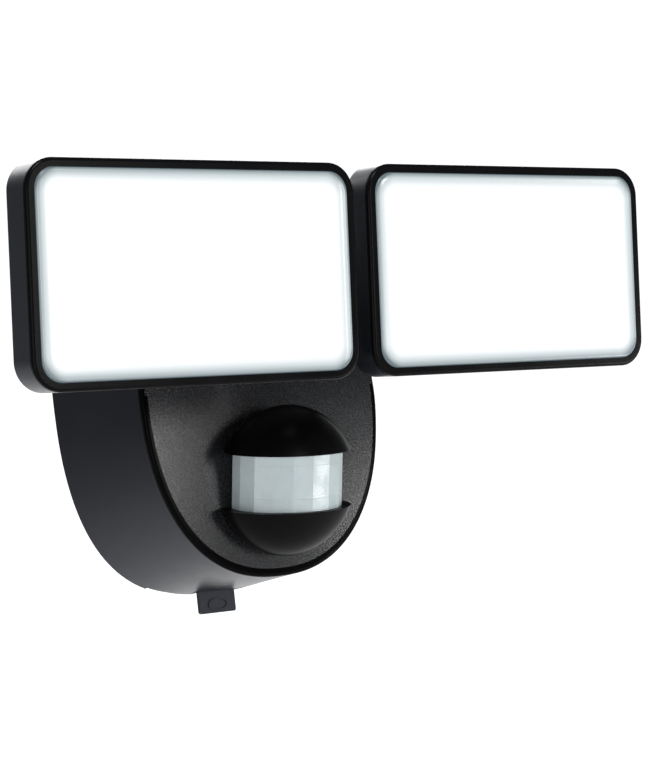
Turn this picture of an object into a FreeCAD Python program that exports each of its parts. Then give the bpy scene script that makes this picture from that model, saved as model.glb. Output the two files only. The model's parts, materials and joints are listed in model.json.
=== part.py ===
import FreeCAD, Part
import math
import os
import Sketcher
from FreeCAD import Placement, Rotation, Vector

# Twin-head wall light with a motion sensor.  X is to the right, Y into the wall, Z up.
# The origin is on the wall, midway between the two wall screws.  Depths are given as
# "forward" distances: forward 0 is the wall and forward 49 is at y = -49.

doc = FreeCAD.newDocument("twin_head_light")

# alias, millimetres or degrees, what it is
DIMENSIONS = [
    ("back_half_width", 64.5, "housing half width at the wall"),
    ("back_up", 42, "housing above its widest level at the wall"),
    ("back_down", 92.3, "housing below its widest level at the wall"),
    ("front_half_width", 55.4, "housing half width at the front seam"),
    ("front_up", 53.4, "front seam above its widest level"),
    ("front_down", 73.2, "front seam below its widest level"),
    ("front_level", -15.4, "height of the front seam's widest level"),
    ("back_fullness", 2.79, "superellipse exponent, lower half at the wall"),
    ("front_fullness", 2.31, "superellipse exponent, lower half at the seam"),
    ("top_fullness", 4, "superellipse exponent, upper half"),
    ("housing_depth", 49, "wall to front seam"),
    ("skin", 2.4, "wall thickness of housing and cover"),
    ("rear_wall_start", 4.5, "forward face of the plate space behind the rear wall"),
    ("rear_wall", 2.5, "thickness of the rear wall"),
    ("pillow_radius", 600, "radius of the domed front face"),
    ("pillow_forward", 54.1, "highest point of the front face"),
    ("pillow_level", -24.3, "height of that point"),
    ("rim_round", 1.5, "rounding of the cover's rim"),
    ("lip_depth", 4, "how far the cover's lip enters the housing"),
    ("rim_thickness", 4.2, "thickness of the cover at its rim"),
    ("plate_thickness", 3, "wall plate"),
    ("wall_screw_spacing", 76, "between the two wall screws"),
    ("wall_screw_hole", 4.6, "diameter of the wall screw holes"),
    ("latch_width", 17.2, "release latch"),
    ("latch_end", -100.5, "lower end of the release latch"),
    ("latch_pivot", -76, "height of the latch pin"),
    ("cell_diameter", 26.2, "C cell"),
    ("cell_length", 48, "C cell without its button"),
    ("cell_pitch", 26.6, "between cells"),
    ("tray_width", 108, "battery tray"),
    ("tray_height", 57, "battery tray"),
    ("tray_level", -15.5, "height of the tray's centre"),
    ("tray_depth", 28.2, "battery tray"),
    ("post_top", 28.5, "height of the upper cover posts"),
    ("post_bottom", -62, "height of the lower cover posts"),
    ("post_half_top", 36, "half spacing of the upper posts"),
    ("post_half_bottom", 34, "half spacing of the lower posts"),
    ("post_radius", 3.6, "cover posts"),
    ("sensor_level", -52.1, "height of the sensor dome's centre"),
    ("dome_forward", 61.7, "centre of the sensor dome from the wall"),
    ("dome_stand", 8.2, "centre of the dome in front of the cover's face"),
    ("sensor_tilt", 12.6, "how far the sensor looks down"),
    ("cap_half_width", 29.7, "sensor caps, outside"),
    ("cap_half_height", 29.4, "sensor caps, outside"),
    ("cap_half_depth", 20, "sensor caps, outside"),
    ("cap_skin", 2, "sensor caps"),
    ("band_top", 11.6, "upper edge of the lens band above the dome's centre"),
    ("band_bottom", 10, "lower edge of the lens band below the dome's centre"),
    ("sensor_lens_half_width", 23.3, "lens band"),
    ("sensor_lens_half_depth", 17.2, "lens band"),
    ("sensor_lens_skin", 0.9, "lens band"),
    ("facet_angle", 21, "one facet of the lens band"),
    ("head_across", 71.4, "centre of a head from the middle"),
    ("pivot_forward", 89.7, "tilt axis from the wall"),
    ("pivot_level", 23.4, "height of the tilt axis"),
    ("head_tilt", 6.5, "how far the heads face down as supplied"),
    ("lens_width", 129.8, "diffuser face"),
    ("lens_height", 72.4, "diffuser face"),
    ("lens_round", 7.6, "corner radius of the diffuser face"),
    ("lens_reach", 36, "diffuser face from the tilt axis"),
    ("bezel_ring", 3.3, "visible width of the bezel"),
    ("bezel_depth", 2.1, "bezel, front to back"),
    ("bezel_edge", 1.3, "rounding of the bezel's outer edge"),
    ("flange", 1.5, "diffuser flange under the bezel"),
    ("shell_side", 11.4, "straight side wall of the head shell"),
    ("shell_back", 12, "back face of the shell from the tilt axis"),
    ("shell_back_width", 108, "back face of the shell"),
    ("shell_back_height", 50, "back face of the shell"),
    ("pan_offset", 13.7, "pan axis behind the tilt axis"),
    ("knuckle_radius", 6.8, "barrels of the knuckle"),
    ("knuckle_width", 14.2, "length of the knuckle's barrels"),
    ("bolt_radius", 2.5, "pan and tilt bolts"),
    ("arm_radius", 8.5, "arm tube"),
    ("arm_bend", 12, "bend radius of the arm"),
    ("arm_forward", 30, "where the arm leaves the housing"),
    ("stub_radius", 6, "threaded stub of the arm"),
    ("fork_gap", 14.4, "inside height of the arm's fork"),
    ("fork_plate", 3.4, "each plate of the fork"),
    ("running_fit", 0.08, "radial clearance of pins and bolts"),
    ("led_columns", 8, "LEDs across a head"),
    ("led_rows", 3, "LEDs up a head"),
]

sheet = doc.addObject("Spreadsheet::Sheet", "dims")
for row, (alias, number, meaning) in enumerate(DIMENSIONS, start=1):
    sheet.set(f"A{row}", meaning)
    sheet.set(f"B{row}", str(number))
    sheet.setAlias(f"B{row}", alias)
doc.recompute()


class Size:
    """A length with its number and the spreadsheet expression that gives it."""

    def __init__(self, number, text=None):
        self.number = float(number)
        self.text = text or repr(float(number))

    def join(self, sign, other, number):
        return Size(number, f"({self.text} {sign} {size(other).text})")

    def __add__(self, other):
        return self.join("+", other, self.number + size(other).number)

    def __sub__(self, other):
        return self.join("-", other, self.number - size(other).number)

    def __mul__(self, other):
        return self.join("*", other, self.number * size(other).number)

    def __truediv__(self, other):
        return self.join("/", other, self.number / size(other).number)

    def __neg__(self):
        return Size(-self.number, f"(0 - {self.text})")


def size(value):
    return value if isinstance(value, Size) else Size(value)


class Dims:
    """Every row of the sheet as a Size: dims.skin and so on."""


dims = Dims()
for alias, number, meaning in DIMENSIONS:
    setattr(dims, alias, Size(number, f"dims.{alias}"))

D = dims
SIDES = (("left", -1), ("right", 1))
X_AXIS = Vector(1, 0, 0)
Y_AXIS = Vector(0, 1, 0)
Z_AXIS = Vector(0, 0, 1)
parts = []


def bind(thing, prop, value):
    thing.setExpression(prop, size(value).text)


def place(thing, x=0, forward=0, z=0, axis=Z_AXIS, angle=0):
    """Puts an object at x, forward, z and turns it about an axis through its own origin."""
    x, forward, z, angle = size(x), size(forward), size(z), size(angle)
    thing.Placement = Placement(Vector(x.number, -forward.number, z.number), Rotation(axis, angle.number))
    bind(thing, "Placement.Base.x", x)
    bind(thing, "Placement.Base.y", -forward)
    bind(thing, "Placement.Base.z", z)
    if angle.number:
        bind(thing, "Placement.Rotation.Angle", angle)
    return thing


def keep(thing, label):
    """Marks a finished sub-part: its label is the name of its node."""
    thing.Label = label
    parts.append(thing)
    return thing


# ---------------------------------------------------------------- solids by primitives

def box(width, depth, height, x=0, forward=0, z=0):
    """A box centred on x and z that reaches from `forward` towards the front by `depth`."""
    solid = doc.addObject("Part::Box", "box")
    bind(solid, "Length", width)
    bind(solid, "Width", depth)
    bind(solid, "Height", height)
    return place(solid, size(x) - size(width) / 2, size(forward) + depth, size(z) - size(height) / 2)


def rod(radius, length, x=0, forward=0, z=0, axis="forward"):
    """A cylinder that starts at a point and runs forward, up or to the right."""
    solid = doc.addObject("Part::Cylinder", "rod")
    bind(solid, "Radius", radius)
    bind(solid, "Height", length)
    turns = {"forward": (X_AXIS, 90), "up": (Z_AXIS, 0), "right": (Y_AXIS, 90)}
    return place(solid, x, forward, z, *turns[axis])


def ball(radius, x=0, forward=0, z=0):
    solid = doc.addObject("Part::Sphere", "ball")
    bind(solid, "Radius", radius)
    return place(solid, x, forward, z)


def hexagon(across_flats, length, x=0, forward=0, z=0, axis="forward"):
    solid = doc.addObject("Part::Prism", "hexagon")
    solid.Polygon = 6
    bind(solid, "Circumradius", size(across_flats) / math.sqrt(3))
    bind(solid, "Height", length)
    turns = {"forward": (X_AXIS, 90), "right": (Y_AXIS, 90)}
    return place(solid, x, forward, z, *turns[axis])


def fuse(*solids):
    whole = doc.addObject("Part::MultiFuse", "fuse")
    whole.Shapes = list(solids)
    return whole


def cut(base, *tools):
    whole = doc.addObject("Part::Cut", "cut")
    whole.Base = base
    whole.Tool = tools[0] if len(tools) == 1 else fuse(*tools)
    return whole


def common(first, second):
    whole = doc.addObject("Part::Common", "common")
    whole.Base = first
    whole.Tool = second
    return whole


def group(*solids):
    """Identical pieces that share one node."""
    whole = doc.addObject("Part::Compound", "group")
    whole.Links = list(solids)
    return whole


def screw(head_radius, head_height, length, x, forward, z, radius=1.45):
    """A screw that points forward: its head starts at `forward`."""
    head = rod(head_radius, head_height, x, forward, z)
    shank = rod(radius, size(length) + head_height, x, forward, z)
    cross = box(0.6, 0.8, size(head_radius), x, forward, z)
    return cut(fuse(head, shank), cross)


# ---------------------------------------------------------------- solids by sketches

def origin_plane(body, role):
    return next(item for item in body.Origin.OriginFeatures if item.Role == role)


def sketch_on(body, role, offset=0):
    """A sketch parallel to one of the body's own origin planes."""
    sketch = body.newObject("Sketcher::SketchObject", "sketch")
    sketch.AttachmentSupport = [(origin_plane(body, role), "")]
    sketch.MapMode = "FlatFace"
    sketch.AttachmentOffset = Placement(Vector(0, 0, size(offset).number), Rotation())
    bind(sketch, "AttachmentOffset.Base.z", offset)
    return sketch


def measure(sketch, kind, elements, value, name):
    index = sketch.addConstraint(Sketcher.Constraint(kind, *elements, size(value).number))
    sketch.renameConstraint(index, name)
    bind(sketch, f"Constraints.{name}", value)


def draw_round_rect(sketch, width, height, radius, x=0, z=0):
    """A rectangle with four equal rounded corners, all its sizes bound to the sheet."""
    width, height, radius, x, z = (size(value) for value in (width, height, radius, x, z))
    half_w, half_h, r = width.number / 2, height.number / 2, radius.number
    first = sketch.GeometryCount
    corners = ((1, -1), (1, 1), (-1, 1), (-1, -1))
    for turn, (side_x, side_z) in enumerate(corners):
        centre = Vector(x.number + side_x * (half_w - r), z.number + side_z * (half_h - r), 0)
        start = math.radians(90 * turn - 90)
        circle = Part.Circle(centre, Z_AXIS, r)
        sketch.addGeometry(Part.ArcOfCircle(circle, start, start + math.pi / 2), False)
    for turn in range(4):
        start = sketch.getPoint(first + turn, 2)
        end = sketch.getPoint(first + (turn + 1) % 4, 1)
        sketch.addGeometry(Part.LineSegment(start, end), False)
    for turn in range(4):
        line = first + 4 + turn
        sketch.addConstraint(Sketcher.Constraint("Tangent", first + turn, 2, line, 1))
        sketch.addConstraint(Sketcher.Constraint("Tangent", line, 2, first + (turn + 1) % 4, 1))
        sketch.addConstraint(Sketcher.Constraint("Vertical" if turn % 2 == 0 else "Horizontal", line))
        if turn:
            sketch.addConstraint(Sketcher.Constraint("Equal", first, first + turn))
    measure(sketch, "Radius", (first,), radius, f"radius{first}")
    measure(sketch, "DistanceX", (first + 6, 1, first + 4, 1), width, f"width{first}")
    measure(sketch, "DistanceY", (first + 7, 1, first + 5, 1), height, f"height{first}")
    measure(sketch, "DistanceX", (-1, 1, first, 3), x + width / 2 - radius, f"across{first}")
    measure(sketch, "DistanceY", (-1, 1, first, 3), z - height / 2 + radius, f"level{first}")


def draw_circle(sketch, radius, x=0, z=0):
    index = sketch.GeometryCount
    radius, x, z = size(radius), size(x), size(z)
    sketch.addGeometry(Part.Circle(Vector(x.number, z.number, 0), Z_AXIS, radius.number), False)
    measure(sketch, "Radius", (index,), radius, f"radius{index}")
    measure(sketch, "DistanceX", (-1, 1, index, 3), x, f"across{index}")
    measure(sketch, "DistanceY", (-1, 1, index, 3), z, f"level{index}")


def pad(body, start, thickness, *drawings):
    """Adds what is drawn on a plane parallel to the wall, from `start` forward."""
    sketch = sketch_on(body, "XZ_Plane", start)
    for draw, *sizes in drawings:
        draw(sketch, *sizes)
    feature = body.newObject("PartDesign::Pad", "pad")
    feature.Profile = sketch
    bind(feature, "Length", thickness)
    return feature


def pocket(body, start, depth, *drawings):
    """Removes what is drawn, between `start` and `start + depth`."""
    sketch = sketch_on(body, "XZ_Plane", size(start) + depth)
    for draw, *sizes in drawings:
        draw(sketch, *sizes)
    feature = body.newObject("PartDesign::Pocket", "pocket")
    feature.Profile = sketch
    bind(feature, "Length", depth)
    return feature


def new_body():
    return doc.addObject("PartDesign::Body", "body")


# ---------------------------------------------------------------- the shield outline

OUTLINE_POINTS = 32


def superellipse(angle, half_width, up, down, level, low_fullness):
    """A point of a shield outline: x and z at an angle round it."""
    across, rise = math.cos(angle), math.sin(angle)
    power = 2 / (D.top_fullness.number if rise > 0 else low_fullness)
    x = math.copysign(abs(across) ** power, across) * half_width
    z = math.copysign(abs(rise) ** power, rise) * (up if rise > 0 else down)
    return x, level + z


def outline(forward, inset):
    """The closed shield outline at a forward distance, drawn inside the outer skin by `inset`."""
    forward, inset = size(forward).number, size(inset).number
    share = min(forward / D.housing_depth.number, 1)
    points = []
    for step in range(OUTLINE_POINTS):
        angle = 2 * math.pi * step / OUTLINE_POINTS
        back_x, back_z = superellipse(
            angle, D.back_half_width.number - inset, D.back_up.number - inset,
            D.back_down.number - inset, 0, D.back_fullness.number)
        front_x, front_z = superellipse(
            angle, D.front_half_width.number - inset, D.front_up.number - inset,
            D.front_down.number - inset, D.front_level.number, D.front_fullness.number)
        x = back_x + (front_x - back_x) * share
        z = back_z + (front_z - back_z) * share
        points.append(Vector(x, -forward, z))
    curve = Part.BSplineCurve()
    curve.interpolate(points, PeriodicFlag=True)
    wire = doc.addObject("Part::Feature", "outline")
    wire.Shape = Part.Wire([curve.toShape()])
    return wire


def shield(start, end, inset):
    """A solid between two outlines."""
    solid = doc.addObject("Part::Loft", "shield")
    solid.Sections = [outline(start, inset), outline(end, inset)]
    solid.Solid = True
    solid.Ruled = True
    return solid


def shield_ring(start, end, outer_inset, inner_inset):
    return cut(shield(start, end, outer_inset), shield(start, end, inner_inset))


# ---------------------------------------------------------------- wall plate and latch

HOOKS = [(x, z) for z in (27, -62) for x in (-20, 20)]
LATCH_PIN_RADIUS = 1.5
LATCH_PIN_FORWARD = 2.4


def wall_plate():
    hook_width = 8
    hook_height = 3
    plate = shield(0, D.plate_thickness, D.skin + 0.5)
    hooks = []
    for x, z in HOOKS:
        hooks.append(box(hook_width, 6.6, hook_height, x, D.plate_thickness - 0.2, z))
        hooks.append(box(hook_width, 1.6, 6, x, D.plate_thickness + 4.8, z + 1.5))
    pry_rib = common(pry_wedge(0.2), shield(0, D.plate_thickness, 0.6))
    hole_x = D.wall_screw_spacing / 2
    tools = [rod(D.wall_screw_hole / 2, 10, hole_x * side, -1, 0) for _, side in SIDES]
    for z in (-38, 10):
        tools.append(box(4.6, 10, 14, 0, -1, z))
        tools += [rod(2.3, 10, 0, -1, z + end) for end in (-7, 7)]
    for x in (-26, 26):
        tools.append(box(22, 10, 26, x, -1, -36))
    latch_slot = box(D.latch_width + 1.2, 10, 30, 0, -1, D.latch_pivot - 10)
    plate_body = cut(fuse(plate, pry_rib, *hooks), latch_slot, *tools)
    lug_x = D.latch_width / 2 + 1.9
    lugs = [box(2.4, 4.2, 7, lug_x * side, 0, D.latch_pivot) for _, side in SIDES]
    keep(cut(fuse(plate_body, *lugs), latch_pin_hole()), "wall_plate")


def latch_pin_hole():
    return rod(D.running_fit + LATCH_PIN_RADIUS, 40, -20, LATCH_PIN_FORWARD, D.latch_pivot, "right")


def pry_wedge(clearance):
    """The shallow notch in the skirt's back edge, tapering to nothing towards the middle."""
    low, high = -31 + clearance, -7 - 4 * clearance
    corners = [(low, -1), (low, 1.4 - clearance), (-26, 2.6 - clearance), (high, 0), (high, -1)]
    body = new_body()
    sketch = sketch_on(body, "XY_Plane", -97)
    for start, end in zip(corners, corners[1:] + corners[:1]):
        line = Part.LineSegment(Vector(start[0], -start[1], 0), Vector(end[0], -end[1], 0))
        index = sketch.addGeometry(line, False)
        sketch.addConstraint(Sketcher.Constraint("Block", index))
    wedge = body.newObject("PartDesign::Pad", "pad")
    wedge.Profile = sketch
    wedge.Length = 17
    return body


def release_latch():
    """A lever on a pin, whose lower end shows below the housing as a tab with an oval ring."""
    blade_start = 2.2
    blade = 1.8
    length = D.latch_pivot - D.latch_end
    body = new_body()
    centre = (D.latch_pivot + D.latch_end) / 2
    pad(body, blade_start, blade, (draw_round_rect, D.latch_width, length, 1.0, 0, centre))
    ring = new_body()
    pad(ring, blade_start + blade - 0.1, 0.45, (draw_oval, 4.6, 2.6, -97), (draw_oval, 4.1, 2.1, -97))
    barrel = rod(2.6, D.latch_width, -D.latch_width / 2, 2.6, D.latch_pivot, "right")
    keep(cut(fuse(body, ring, barrel), latch_pin_hole()), "release_latch")
    pin = rod(LATCH_PIN_RADIUS, D.latch_width + 6, -D.latch_width / 2 - 3,
              LATCH_PIN_FORWARD, D.latch_pivot, "right")
    keep(pin, "latch_pin")


def draw_oval(sketch, half_width, half_height, z):
    index = sketch.GeometryCount
    centre = Vector(0, z, 0)
    oval = Part.Ellipse(centre + Vector(half_width, 0, 0), centre + Vector(0, half_height, 0), centre)
    sketch.addGeometry(oval, False)
    sketch.addConstraint(Sketcher.Constraint("Block", index))


# ---------------------------------------------------------------- housing and cover

POSTS = [(side * half.number, level) for half, level in
         ((D.post_half_top, D.post_top), (D.post_half_bottom, D.post_bottom)) for side in (-1, 1)]
MODE_SWITCH = (-9, 33)
DURATION_DIAL = (9, 33)
DOOR_SCREW_Z = -48.5
NUT_SEAT = 43.7
ARM_BOSS = 15


def rear_housing():
    wall_end = D.rear_wall_start + D.rear_wall
    skirt = shield_ring(0, D.housing_depth, 0, D.skin)
    rear_wall = shield(D.rear_wall_start, wall_end, 1.2)
    door_boss = rod(4, 9, 0, wall_end - 0.5, DOOR_SCREW_Z)
    arm_bosses = []
    for _, side in SIDES:
        boss_start = NUT_SEAT if side > 0 else -NUT_SEAT - ARM_BOSS
        boss = rod(8.2, ARM_BOSS, boss_start, D.arm_forward, D.pivot_level, "right")
        arm_bosses.append(common(boss, shield(0, D.housing_depth, 1)))
    solid = fuse(skirt, rear_wall, door_boss, *arm_bosses)
    tools = [
        box(D.tray_width + 0.8, 4, D.tray_height + 0.8, 0, D.rear_wall_start - 0.5, D.tray_level),
        box(13, 2, 9, 0, D.rear_wall_start, DOOR_SCREW_Z + 0.5),
        rod(1.5, 12, 0, D.rear_wall_start, DOOR_SCREW_Z),
        box(11, 4, 5.4, MODE_SWITCH[0], D.rear_wall_start - 0.5, MODE_SWITCH[1]),
        rod(4.3, 4, DURATION_DIAL[0], D.rear_wall_start - 0.5, DURATION_DIAL[1]),
        box(24, 4, 26, 0, D.rear_wall_start - 0.5, -80),
        box(D.latch_width + 1.4, 6.2, 14, 0, -0.5, -91),
        pry_wedge(0),
        shield_ring(D.housing_depth - 1, D.housing_depth, 0.8, 1.8),
    ]
    for x, z in POSTS:
        tools.append(rod(1.7, 6, x, D.rear_wall_start - 0.5, z))
        tools.append(rod(3.1, 2, x, D.rear_wall_start - 0.5, z))
    for x, z in HOOKS:
        tools.append(box(9, 4, 6.8, x, D.rear_wall_start - 0.5, z - 1.7))
    for _, side in SIDES:
        hole_start = 40 if side > 0 else -80
        tools.append(rod(D.stub_radius + 0.15, 40, hole_start, D.arm_forward, D.pivot_level, "right"))
    keep(cut(solid, *tools), "rear_housing")
    keep(shield_ring(D.housing_depth - 1, D.housing_depth, 0.82, 1.78), "cover_seal")


def pillow(growth=0):
    """The big ball whose surface is the domed front face, larger or smaller by `growth`."""
    radius = D.pillow_radius + growth
    return ball(radius, 0, D.pillow_forward - D.pillow_radius, D.pillow_level)


def at_dome(thing):
    """Places a piece drawn about the centre of the sensor dome, looking down a little."""
    return place(thing, 0, D.dome_forward, D.sensor_level, X_AXIS, D.sensor_tilt)


def at_sensor(thing):
    """Places a piece drawn about the point behind the dome's centre on the cover's face."""
    tilt = math.radians(D.sensor_tilt.number)
    forward = D.dome_forward - D.dome_stand * math.cos(tilt)
    level = D.sensor_level + D.dome_stand * math.sin(tilt)
    return place(thing, 0, forward, level, X_AXIS, D.sensor_tilt)


def round_rim(solid):
    """Rounds the edge between the cover's side and its domed face."""
    rounded = doc.addObject("Part::Fillet", "rim")
    rounded.Base = solid
    doc.recompute()
    radius = D.rim_round.number
    seam = -D.housing_depth.number - 0.1
    edges = [number for number, edge in enumerate(solid.Shape.Edges, start=1)
             if edge.BoundBox.YMax < seam and edge.Length > 100]
    rounded.Edges = [(number, radius, radius) for number in edges]
    return rounded


def front_cover():
    beyond = 15
    depth = D.housing_depth
    rim = shield(depth, depth + beyond, 0)
    shell = round_rim(common(rim, pillow()))
    hollow = common(shield(depth - 1, depth + beyond, D.rim_thickness), pillow(-D.skin))
    lip = shield_ring(depth - D.lip_depth, depth + 0.5, D.skin + 0.3, D.rim_thickness)
    post_start = D.rear_wall_start + D.rear_wall + 0.05
    reach = depth + 6
    posts = [common(rod(D.post_radius, reach - post_start, x, post_start, z), pillow(-1)) for x, z in POSTS]
    pilots = [rod(1.5, 14, x, post_start - 1, z) for x, z in POSTS]
    bosses = fuse(*[rod(3, 5.7, side * 25, -5.2, 0) for side in (-1, 1)])
    boss_pilots = fuse(*[rod(1.15, 3.8, side * 25, -5.3, 0) for side in (-1, 1)])
    window = box(36, 16, 17.2, 0, -10, 0)
    solid = fuse(cut(shell, hollow), lip, *posts, common(at_sensor(bosses), pillow(-1)))
    keep(cut(solid, at_sensor(group(window)), at_sensor(boss_pilots), *pilots), "front_cover")
    screws = [screw(2.8, 1.4, 12, x, D.rear_wall_start, z) for x, z in POSTS]
    keep(group(*screws), "cover_screws")


# ---------------------------------------------------------------- batteries and electronics

def cell_x(index):
    return D.cell_pitch * (index - 1.5)


def batteries():
    tray_start = D.rear_wall_start + D.rear_wall
    floor = 1.2
    tray = new_body()
    pad(tray, tray_start, D.tray_depth, (draw_round_rect, D.tray_width, D.tray_height, 3, 0, D.tray_level))
    pocket(tray, tray_start, D.tray_depth - floor,
           (draw_round_rect, D.tray_width - 1.2, D.tray_height - 2.4, 2, 0, D.tray_level))
    keep(common(tray, shield(0, D.housing_depth, D.skin + 0.3)), "battery_tray")
    middle = tray_start + D.cell_diameter / 2 + 0.4
    button = 1.8
    strips, springs = [], []
    for index in range(4):
        up = 1 if index % 2 == 0 else -1
        base = D.tray_level - D.cell_length / 2 + 0.9 * up
        button_z = base + D.cell_length if up > 0 else base - button
        can = rod(D.cell_diameter / 2, D.cell_length, cell_x(index), middle, base, "up")
        nub = rod(3.5, button, cell_x(index), middle, button_z, "up")
        keep(fuse(can, nub), f"battery_cell_{index + 1}")
        for end in (-1, 1):
            z = D.tray_level + (D.tray_height / 2 - 1.35) * end
            strips.append(box(14, 14, 0.25, cell_x(index), middle - 7, z))
        wall = D.tray_level - (D.tray_height / 2 - 1.5) * up
        springs.append(contact_spring(cell_x(index), middle, wall, up))
    keep(group(*strips), "contact_strips")
    keep(group(*springs), "contact_springs")


def contact_spring(x, forward, z_wall, toward):
    """A bowed strip between the tray's end wall and a cell's flat end."""
    strip, width, chord, bow = 0.4, 8, 14, 3.3
    bend = (chord ** 2 / 4 + bow ** 2) / (2 * bow)
    centre = z_wall - (bend - bow) * toward
    start = forward - width / 2
    ring = cut(rod(bend, width, x, start, centre), rod(bend - strip, width + 2, x, start - 1, centre))
    return common(ring, box(chord, width, bow, x, start, z_wall + bow / 2 * toward))


def battery_door():
    start = D.rear_wall_start + 0.2
    thickness = 1.8
    panel = new_body()
    pad(panel, start, thickness,
        (draw_round_rect, D.tray_width + 0.4, D.tray_height + 0.4, 2, 0, D.tray_level))
    tongue = box(12.4, thickness, 9, 0, start, DOOR_SCREW_Z + 0.7)
    grip = box(30, 0.8, 3, 0, start - 0.1, D.tray_level)
    keep(cut(fuse(panel, tongue), grip, rod(1.7, 6, 0, start - 1, DOOR_SCREW_Z)), "battery_door")
    keep(screw(3, 1.4, 9, 0, start - 1.4, DOOR_SCREW_Z), "door_screw")


def electronics():
    start = 13
    board_level = 25.5
    thickness = 1.6
    board = new_body()
    holes = [(draw_circle, 1.7, x, board_level) for x in (-28.5, 28.5)]
    pad(board, start, thickness, (draw_round_rect, 62, 20, 1.5, 0, board_level), *holes)
    keep(board, "control_board")
    front = start + thickness
    loose = [box(9, 6, 9, -21, front, 24), box(14, 7, 5, 17.5, front, 30)]
    loose += [rod(4, 11, x, front, 23.5) for x in (-10, 0, 10)]
    loose += [box(4, 1.2, 3, x, front, 31.5) for x in (-12, -4, 4, 12)]
    loose.append(box(12, 4, 6, MODE_SWITCH[0], start - 4, MODE_SWITCH[1] - 0.8))
    loose.append(box(9, 3.6, 6, DURATION_DIAL[0], start - 3.6, DURATION_DIAL[1] - 0.8))
    keep(group(*loose), "board_components")
    keep(group(*[board_screw(x, board_level, front) for x in (-28.5, 28.5)]), "board_screws")
    slide = box(7, 1.2, 4.4, MODE_SWITCH[0], 7.2, MODE_SWITCH[1])
    knob = box(3, 4, 4.4, MODE_SWITCH[0], 3.4, MODE_SWITCH[1])
    keep(fuse(slide, knob), "mode_switch")
    dial = rod(4.1, 4.2, DURATION_DIAL[0], 3.9, DURATION_DIAL[1])
    dial_slot = box(6, 1, 1, DURATION_DIAL[0], 3.9, DURATION_DIAL[1])
    keep(cut(dial, dial_slot), "duration_dial")


def board_screw(x, z, front):
    return fuse(rod(2.8, 1.6, x, front, z), rod(1.6, 7.6, x, front - 6, z))


# ---------------------------------------------------------------- motion sensor

def egg(shrink):
    """The closed dome that both caps are cut from, smaller by `shrink` all round."""
    solid = doc.addObject("Part::Ellipsoid", "egg")
    bind(solid, "Radius1", D.cap_half_height - shrink)
    bind(solid, "Radius2", D.cap_half_width - shrink)
    bind(solid, "Radius3", D.cap_half_depth - shrink)
    return group(solid)


FACETS_EACH_SIDE = 7


def sensor_caps():
    """Two hollow parts of a flattened ball, above and below the lens band."""
    joint = 0.05
    width = D.cap_half_width * 2 + 2
    depth = D.cap_half_depth * 2 + 2
    height = D.cap_half_height
    start = -D.cap_half_depth - 1
    for name, side, rim in (("sensor_upper_cap", 1, D.band_top), ("sensor_lower_cap", -1, D.band_bottom)):
        outside = box(width, depth, height, 0, start, (height / 2 + rim + joint) * side)
        inside = box(width, depth, height, 0, start, (height / 2 + rim + joint + D.cap_skin) * side)
        shell = cut(common(egg(0), outside), common(egg(D.cap_skin), inside))
        keep(cut(at_dome(shell), pillow(joint)), name)


def lens_profile(shrink):
    """Flat facets round an oval, seen from above and open towards the wall."""
    half_width = D.sensor_lens_half_width.number - shrink
    half_depth = D.sensor_lens_half_depth.number - shrink
    corners = []
    for step in range(-FACETS_EACH_SIDE, FACETS_EACH_SIDE + 1):
        angle = math.radians(step * D.facet_angle.number)
        corners.append(Vector(half_width * math.sin(angle), -half_depth * math.cos(angle), 0))
    return corners


def sensor_lens():
    body = new_body()
    sketch = sketch_on(body, "XY_Plane", -D.band_bottom)
    loop = lens_profile(0) + lens_profile(D.sensor_lens_skin.number)[::-1]
    for start, end in zip(loop, loop[1:] + loop[:1]):
        index = sketch.addGeometry(Part.LineSegment(start, end), False)
        sketch.addConstraint(Sketcher.Constraint("Block", index))
    band = body.newObject("PartDesign::Pad", "pad")
    band.Profile = sketch
    bind(band, "Length", D.band_top + D.band_bottom)
    keep(cut(at_dome(body), pillow(0.05)), "sensor_lens")


def sensor_inside():
    plate = box(58, 2, 24, 0, -7.2, 0)
    snout = box(35.4, 6.6, 16.6, 0, -5.6, 0)
    opening = box(32, 20, 13.4, 0, -10, 0)
    holes = [rod(1.3, 10, side * 25, -10, 0) for side in (-1, 1)]
    keep(at_sensor(cut(fuse(plate, snout), opening, *holes)), "sensor_bracket")
    board = new_body()
    pad(board, -8.8, 1.6, (draw_round_rect, 42, 22, 1.5))
    keep(at_sensor(board), "sensor_board")
    can = fuse(rod(4.6, 0.8, 0, -7.2, 0), rod(4.1, 4.3, 0, -7.2, 0))
    keep(at_sensor(cut(can, box(4, 0.4, 3, 0, -3.2, 0))), "pyro_sensor")
    keep(at_sensor(group(rod(2.5, 2.2, 12, -7.2, 0))), "photocell")
    keep(at_sensor(fuse(rod(1.5, 2.6, -12, -7.2, 0), ball(1.5, -12, -4.6, 0))), "indicator_led")
    screws = []
    for side in (-1, 1):
        screws.append(fuse(rod(2.2, 1.4, side * 25, -8.65, 0), rod(1.1, 5.6, side * 25, -8.65, 0)))
    keep(at_sensor(group(*screws)), "bracket_screws")


# ---------------------------------------------------------------- light heads

SHELL_FRONT = D.lens_reach - 0.4 - D.bezel_depth
FLANGE_FRONT = D.lens_reach - 2


def at_head(thing, side):
    """Moves a head's piece, drawn about its tilt axis, to its place on the light."""
    return place(thing, D.head_across * side, D.pivot_forward, D.pivot_level, X_AXIS, D.head_tilt)


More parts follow.
